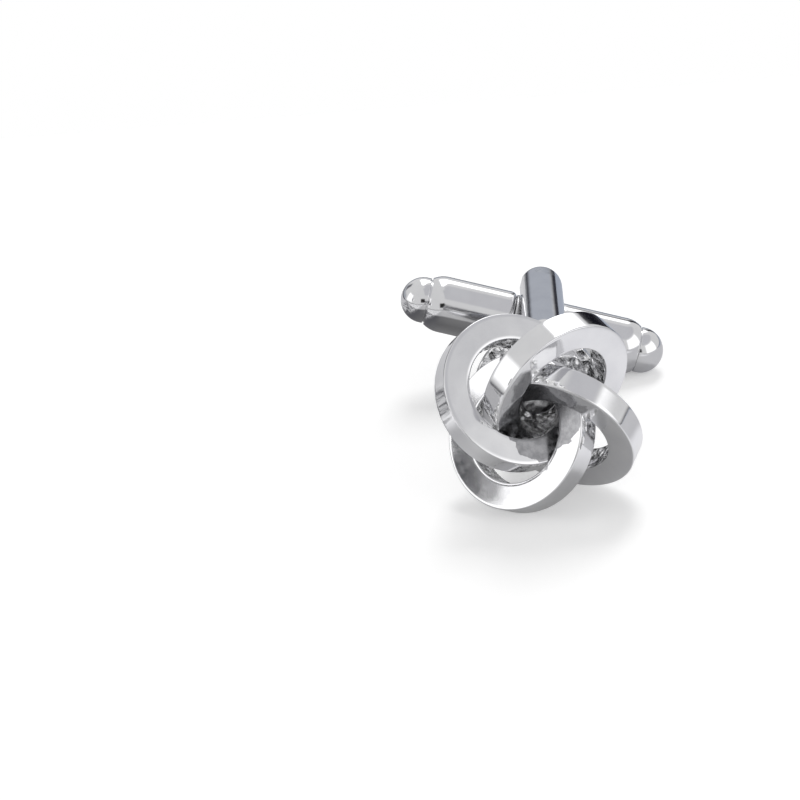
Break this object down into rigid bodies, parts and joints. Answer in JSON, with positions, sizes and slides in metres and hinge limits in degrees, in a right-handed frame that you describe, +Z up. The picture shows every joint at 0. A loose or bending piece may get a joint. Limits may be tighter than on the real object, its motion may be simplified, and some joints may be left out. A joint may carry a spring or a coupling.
{
  "type": "cufflink",
  "caption": "Love-knot cufflink: interlocked flat rings on a back plate, with a forked post and a swivelling round-ended bar that folds in line to pass a buttonhole.",
  "frame": {"origin": "on the table, under the middle of the cufflink's box as it lies at rest", "axes": "+Z up from the table, the head faces -Y and leans back a little, the bar lies roughly along X with its right end down, the post runs back along +Y"},
  "size_m": [0.0192, 0.0282, 0.0138],
  "materials": {
    "polished_plate": "mirror-polished bright silver plate",
    "cast_plate": "plated over a rough cast surface",
    "bright_steel": "bright turned steel",
    "spring_steel": "tempered spring steel strip"
  },
  "bodies": {
    "head_and_post": {"knot_ring_1": "polished_plate", "knot_ring_2": "polished_plate", "knot_ring_3": "polished_plate", "knot_ring_4": "polished_plate", "back_plate": "cast_plate", "post_rivet": "bright_steel", "post_fork": "polished_plate", "pivot_pin": "bright_steel"},
    "toggle_bar": {"toggle_hub": "polished_plate", "detent_spring": "spring_steel", "left_sleeve": "polished_plate", "right_sleeve": "polished_plate", "left_ball_end": "polished_plate", "right_ball_end": "polished_plate", "upper_washer": "bright_steel", "lower_washer": "bright_steel"}
  },
  "joints": [
    {"name": "bar_swivel", "type": "hinge", "parent": "head_and_post", "child": "toggle_bar", "pos_m": [0, 0.01138, 0.00425], "axis": [0.309, 0.1147, 0.9441], "range_deg": [-90, 90]}
  ]
}
